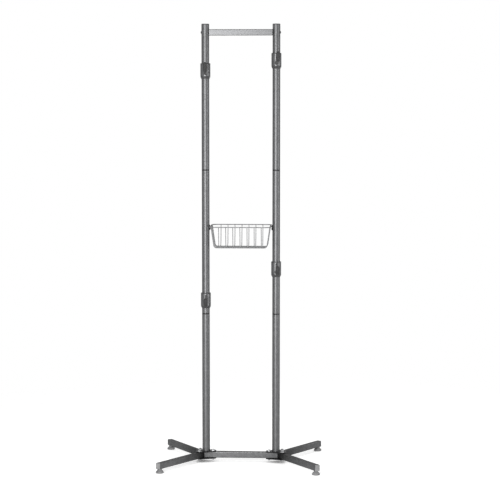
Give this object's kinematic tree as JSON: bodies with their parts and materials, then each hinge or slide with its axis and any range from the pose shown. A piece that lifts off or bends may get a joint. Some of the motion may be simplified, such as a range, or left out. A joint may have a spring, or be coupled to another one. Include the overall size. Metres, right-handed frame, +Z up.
{
  "type": "freestanding bike rack",
  "caption": "Freestanding rack: tall round posts on a splayed base, crossbars, sliding swing-out arms for hanging bikes, a lift-off wire basket and levelling feet.",
  "frame": {"origin": "on the floor, midway between the posts", "axes": "+X to the rack's right, -Y to its front, where the arms point, +Z up the posts"},
  "size_m": [0.7992, 0.6028, 2.181],
  "materials": {
    "powder_coat": "dark grey hammered powder coat",
    "black_steel": "satin black coat",
    "black_plastic": "moulded, fine grain",
    "nylon": "moulded nylon",
    "knob_plastic": "moulded, fine grain",
    "grip_rubber": "matt soft grip",
    "foot_plastic": "moulded, worn sole",
    "cap_plastic": "moulded, fine grain",
    "zinc": "bright zinc plate",
    "black_zinc": "black zinc plate",
    "basket_wire": "grey coated wire"
  },
  "bodies": {
    "frame": {"base_crossbar": "powder_coat", "basket_hook_screws": "black_zinc", "basket_hooks": "black_steel", "front_left_leg": "powder_coat", "front_right_leg": "powder_coat", "hub_bolts": "zinc", "hub_nuts": "zinc", "hub_washers": "zinc", "left_hub_bottom_plate": "black_steel", "left_hub_top_plate": "black_steel", "left_post_cap": "black_plastic", "left_post_joint_sleeves": "black_steel", "left_post_lower": "powder_coat", "left_post_middle": "powder_coat", "left_post_upper": "powder_coat", "leg_end_caps": "cap_plastic", "leg_thread_inserts": "zinc", "post_base_screws": "black_zinc", "rear_left_leg": "powder_coat", "rear_right_leg": "powder_coat", "right_hub_bottom_plate": "black_steel", "right_hub_top_plate": "black_steel", "right_post_cap": "black_plastic", "right_post_joint_sleeves": "black_steel", "right_post_lower": "powder_coat", "right_post_middle": "powder_coat", "right_post_upper": "powder_coat", "top_crossbar": "powder_coat", "top_crossbar_bolts": "black_zinc", "top_crossbar_plugs": "zinc"},
    "upper_left_slider": {"upper_left_slide_bush": "nylon"},
    "upper_left_arm": {"upper_left_arm_collar": "powder_coat", "upper_left_arm_rod": "powder_coat", "upper_left_arm_grip": "grip_rubber"},
    "upper_left_knob": {"upper_left_lock_knob": "knob_plastic"},
    "upper_right_slider": {"upper_right_slide_bush": "nylon"},
    "upper_right_arm": {"upper_right_arm_collar": "powder_coat", "upper_right_arm_rod": "powder_coat", "upper_right_arm_grip": "grip_rubber"},
    "upper_right_knob": {"upper_right_lock_knob": "knob_plastic"},
    "lower_left_slider": {"lower_left_slide_bush": "nylon"},
    "lower_left_arm": {"lower_left_arm_collar": "powder_coat", "lower_left_arm_rod": "powder_coat", "lower_left_arm_grip": "grip_rubber"},
    "lower_left_knob": {"lower_left_lock_knob": "knob_plastic"},
    "lower_right_slider": {"lower_right_slide_bush": "nylon"},
    "lower_right_arm": {"lower_right_arm_collar": "powder_coat", "lower_right_arm_rod": "powder_coat", "lower_right_arm_grip": "grip_rubber"},
    "lower_right_knob": {"lower_right_lock_knob": "knob_plastic"},
    "front_left_foot": {"front_left_levelling_foot": "foot_plastic"},
    "front_right_foot": {"front_right_levelling_foot": "foot_plastic"},
    "rear_left_foot": {"rear_left_levelling_foot": "foot_plastic"},
    "rear_right_foot": {"rear_right_levelling_foot": "foot_plastic"},
    "basket": {"basket_rim": "basket_wire", "basket_cross_wires": "basket_wire", "basket_long_wires": "basket_wire"}
  },
  "joints": [
    {"name": "upper_left_height", "type": "slide", "parent": "frame", "child": "upper_left_slider", "axis": [0, 0, 1], "range_m": [-0.63, 0.13]},
    {"name": "upper_left_swing", "type": "hinge", "parent": "upper_left_slider", "child": "upper_left_arm", "pos_m": [-0.175, 0, 1.95], "axis": [0, 0, 1], "range_deg": [-94, 26]},
    {"name": "upper_left_lock", "type": "hinge", "parent": "upper_left_arm", "child": "upper_left_knob", "pos_m": [-0.17757, 0.03681, 1.95], "axis": [-0.0698, 0.9976, 0], "continuous": true},
    {"name": "upper_right_height", "type": "slide", "parent": "frame", "child": "upper_right_slider", "axis": [0, 0, 1], "range_m": [-0.68, 0.08]},
    {"name": "upper_right_swing", "type": "hinge", "parent": "upper_right_slider", "child": "upper_right_arm", "pos_m": [0.175, 0, 2], "axis": [0, 0, 1], "range_deg": [-34, 86]},
    {"name": "upper_right_lock", "type": "hinge", "parent": "upper_right_arm", "child": "upper_right_knob", "pos_m": [0.17243, 0.03681, 2], "axis": [-0.0698, 0.9976, 0], "continuous": true},
    {"name": "lower_left_height", "type": "slide", "parent": "frame", "child": "lower_left_slider", "axis": [0, 0, 1], "range_m": [-0.69, 0.22]},
    {"name": "lower_left_swing", "type": "hinge", "parent": "lower_left_slider", "child": "lower_left_arm", "pos_m": [-0.175, 0, 0.814], "axis": [0, 0, 1], "range_deg": [-94, 26]},
    {"name": "lower_left_lock", "type": "hinge", "parent": "lower_left_arm", "child": "lower_left_knob", "pos_m": [-0.17757, 0.03681, 0.814], "axis": [-0.0698, 0.9976, 0], "continuous": true},
    {"name": "lower_right_height", "type": "slide", "parent": "frame", "child": "lower_right_slider", "axis": [0, 0, 1], "range_m": [-0.85, 0.06]},
    {"name": "lower_right_swing", "type": "hinge", "parent": "lower_right_slider", "child": "lower_right_arm", "pos_m": [0.175, 0, 0.972], "axis": [0, 0, 1], "range_deg": [-34, 86]},
    {"name": "lower_right_lock", "type": "hinge", "parent": "lower_right_arm", "child": "lower_right_knob", "pos_m": [0.17243, 0.03681, 0.972], "axis": [-0.0698, 0.9976, 0], "continuous": true},
    {"name": "front_left_level", "type": "slide", "parent": "frame", "child": "front_left_foot", "axis": [0, 0, 1], "range_m": [-0.01, 0]},
    {"name": "front_right_level", "type": "slide", "parent": "frame", "child": "front_right_foot", "axis": [0, 0, 1], "range_m": [-0.01, 0]},
    {"name": "rear_left_level", "type": "slide", "parent": "frame", "child": "rear_left_foot", "axis": [0, 0, 1], "range_m": [-0.01, 0]},
    {"name": "rear_right_level", "type": "slide", "parent": "frame", "child": "rear_right_foot", "axis": [0, 0, 1], "range_m": [-0.01, 0]},
    {"name": "basket_lift", "type": "slide", "parent": "frame", "child": "basket", "axis": [0, 0, 1], "range_m": [0, 0.08]}
  ]
}
